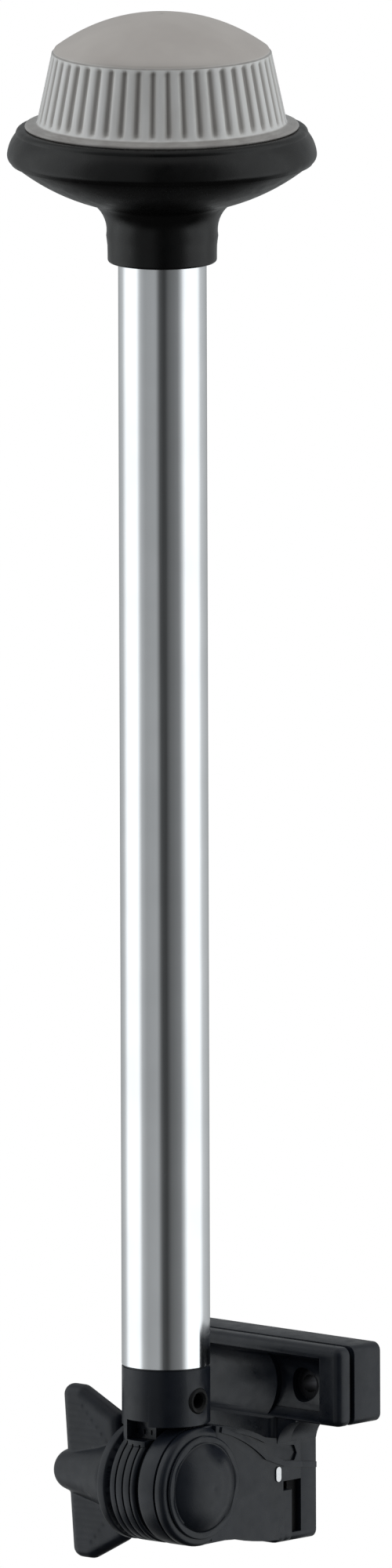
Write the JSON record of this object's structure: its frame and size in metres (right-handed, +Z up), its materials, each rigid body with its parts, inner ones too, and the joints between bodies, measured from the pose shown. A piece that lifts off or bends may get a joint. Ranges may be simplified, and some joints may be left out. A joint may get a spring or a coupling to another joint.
{
  "type": "fold-down navigation light",
  "caption": "All-round boat light: fluted lens over a black shield ring on a straight aluminium pole, folding on a wing-knob clamp hinge from a bolted T-shaped wall base.",
  "frame": {"origin": "on the wall that the base is bolted to, straight behind the pole, level with the hinge axis", "axes": "+Z up along the pole, +Y into the wall, +X along the hinge axis from the wing knob to the domed cap"},
  "size_m": [0.0888, 0.0932, 0.4525],
  "materials": {
    "moulded_nylon": "satin moulded nylon, blue-black",
    "black_plastic": "satin black",
    "seal_rubber": "matt",
    "stainless": "bright stainless",
    "dark_steel": "blackened steel",
    "bright_aluminium": "bright anodised, drawn lengthwise",
    "white_plastic": "matt",
    "red_wire": "satin",
    "black_wire": "satin",
    "brass": "plain",
    "bulb_glass": "clear",
    "lens_clear": "clear fluted, frosted crown"
  },
  "bodies": {
    "base": {"mount_plate": "moulded_nylon", "base_housing": "moulded_nylon", "body_seal": "seal_rubber", "stem_seal": "seal_rubber", "mount_sleeves": "dark_steel", "housing_screws": "stainless", "keeper_clip": "stainless", "hinge_bolt": "stainless", "hinge_cap": "moulded_nylon", "friction_disc": "seal_rubber", "pressure_washer": "moulded_nylon", "flat_washer": "stainless"},
    "pole": {"pole_socket": "moulded_nylon", "cable_grommet": "seal_rubber", "pole_tube": "bright_aluminium", "socket_rivet": "stainless", "wire_connector": "white_plastic", "positive_wire": "red_wire", "negative_wire": "black_wire", "neck_seal": "seal_rubber", "lamp_housing": "black_plastic", "neck_screw": "stainless", "shield_ring": "black_plastic", "lens_seal": "seal_rubber", "bulb_holder": "black_plastic", "holder_screws": "stainless", "contact_spring": "brass", "bulb_cap": "brass", "bulb_glass": "bulb_glass"},
    "lens_unit": {"lens": "lens_clear"},
    "knob": {"wing_knob": "moulded_nylon", "knob_insert": "brass"}
  },
  "joints": [
    {"name": "pole_fold", "type": "hinge", "parent": "base", "child": "pole", "pos_m": [0, -0.0488, 0], "axis": [1, 0, 0], "range_deg": [0, 180]},
    {"name": "lens_twist", "type": "hinge", "parent": "pole", "child": "lens_unit", "pos_m": [0, -0.0488, 0.3942], "axis": [0, 0, 1], "range_deg": [0, 30]},
    {"name": "knob_turn", "type": "hinge", "parent": "base", "child": "knob", "pos_m": [0, -0.0488, 0], "axis": [1, 0, 0], "continuous": true}
  ]
}
